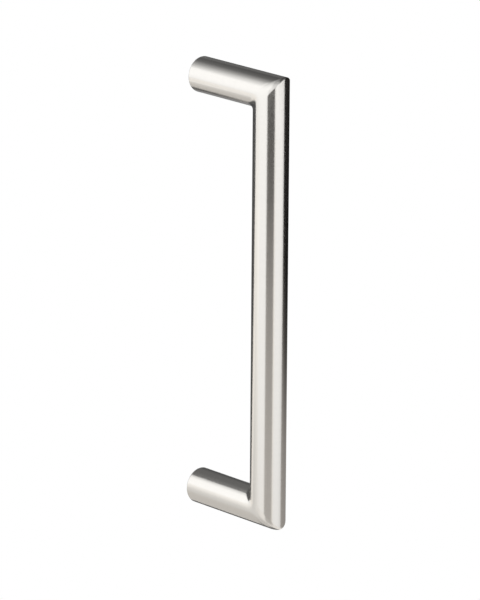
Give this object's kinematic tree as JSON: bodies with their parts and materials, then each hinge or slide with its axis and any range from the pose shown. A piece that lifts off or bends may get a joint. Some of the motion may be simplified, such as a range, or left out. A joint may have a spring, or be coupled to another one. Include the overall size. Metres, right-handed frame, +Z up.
{
  "type": "bar handle",
  "caption": "Round-tube pull handle in satin stainless steel: a straight grip with square mitred corners and plain legs with threaded ends for bolting through a door.",
  "frame": {"origin": "midway between the fixing centres, on the face of the door that the leg ends meet", "axes": "+Z up along the grip, +Y into the door, so the grip stands off towards -Y, and +X across"},
  "size_m": [0.019, 0.063, 0.244],
  "materials": {
    "satin_stainless": "satin",
    "insert_steel": "turned"
  },
  "bodies": {
    "root": {"handle_body": "satin_stainless", "upper_insert": "insert_steel", "lower_insert": "insert_steel"}
  },
  "joints": []
}
